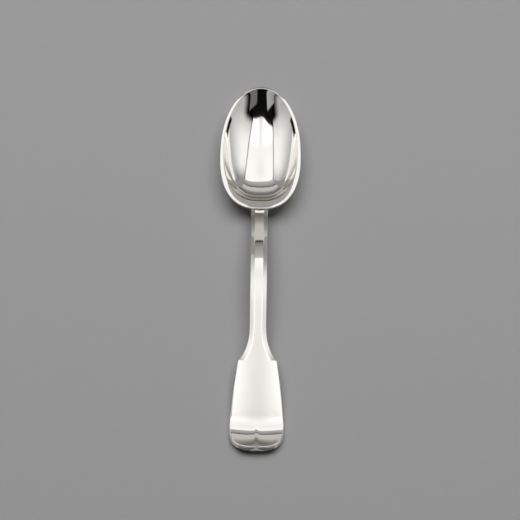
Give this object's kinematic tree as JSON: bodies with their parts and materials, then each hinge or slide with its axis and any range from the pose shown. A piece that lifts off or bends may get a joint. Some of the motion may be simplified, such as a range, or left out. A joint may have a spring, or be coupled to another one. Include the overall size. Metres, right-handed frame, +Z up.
{
  "type": "baby spoon",
  "caption": "Small polished metal spoon with an egg-shaped bowl and an arched stem that widens into a fiddle-shaped handle with a turned-up end, for feeding a baby.",
  "frame": {"origin": "on the table, under the middle of the spoon's length and width", "axes": "+Y towards the tip of the bowl, +Z up out of the bowl, +X to the right when seen from the handle's end"},
  "size_m": [0.0304, 0.14, 0.0109],
  "materials": {
    "polished_silver": "mirror-polished silver, slightly warm",
    "hard_solder": "filed and polished silver solder"
  },
  "bodies": {
    "root": {"bowl": "polished_silver", "handle": "polished_silver", "solder_seam": "hard_solder"}
  },
  "joints": []
}
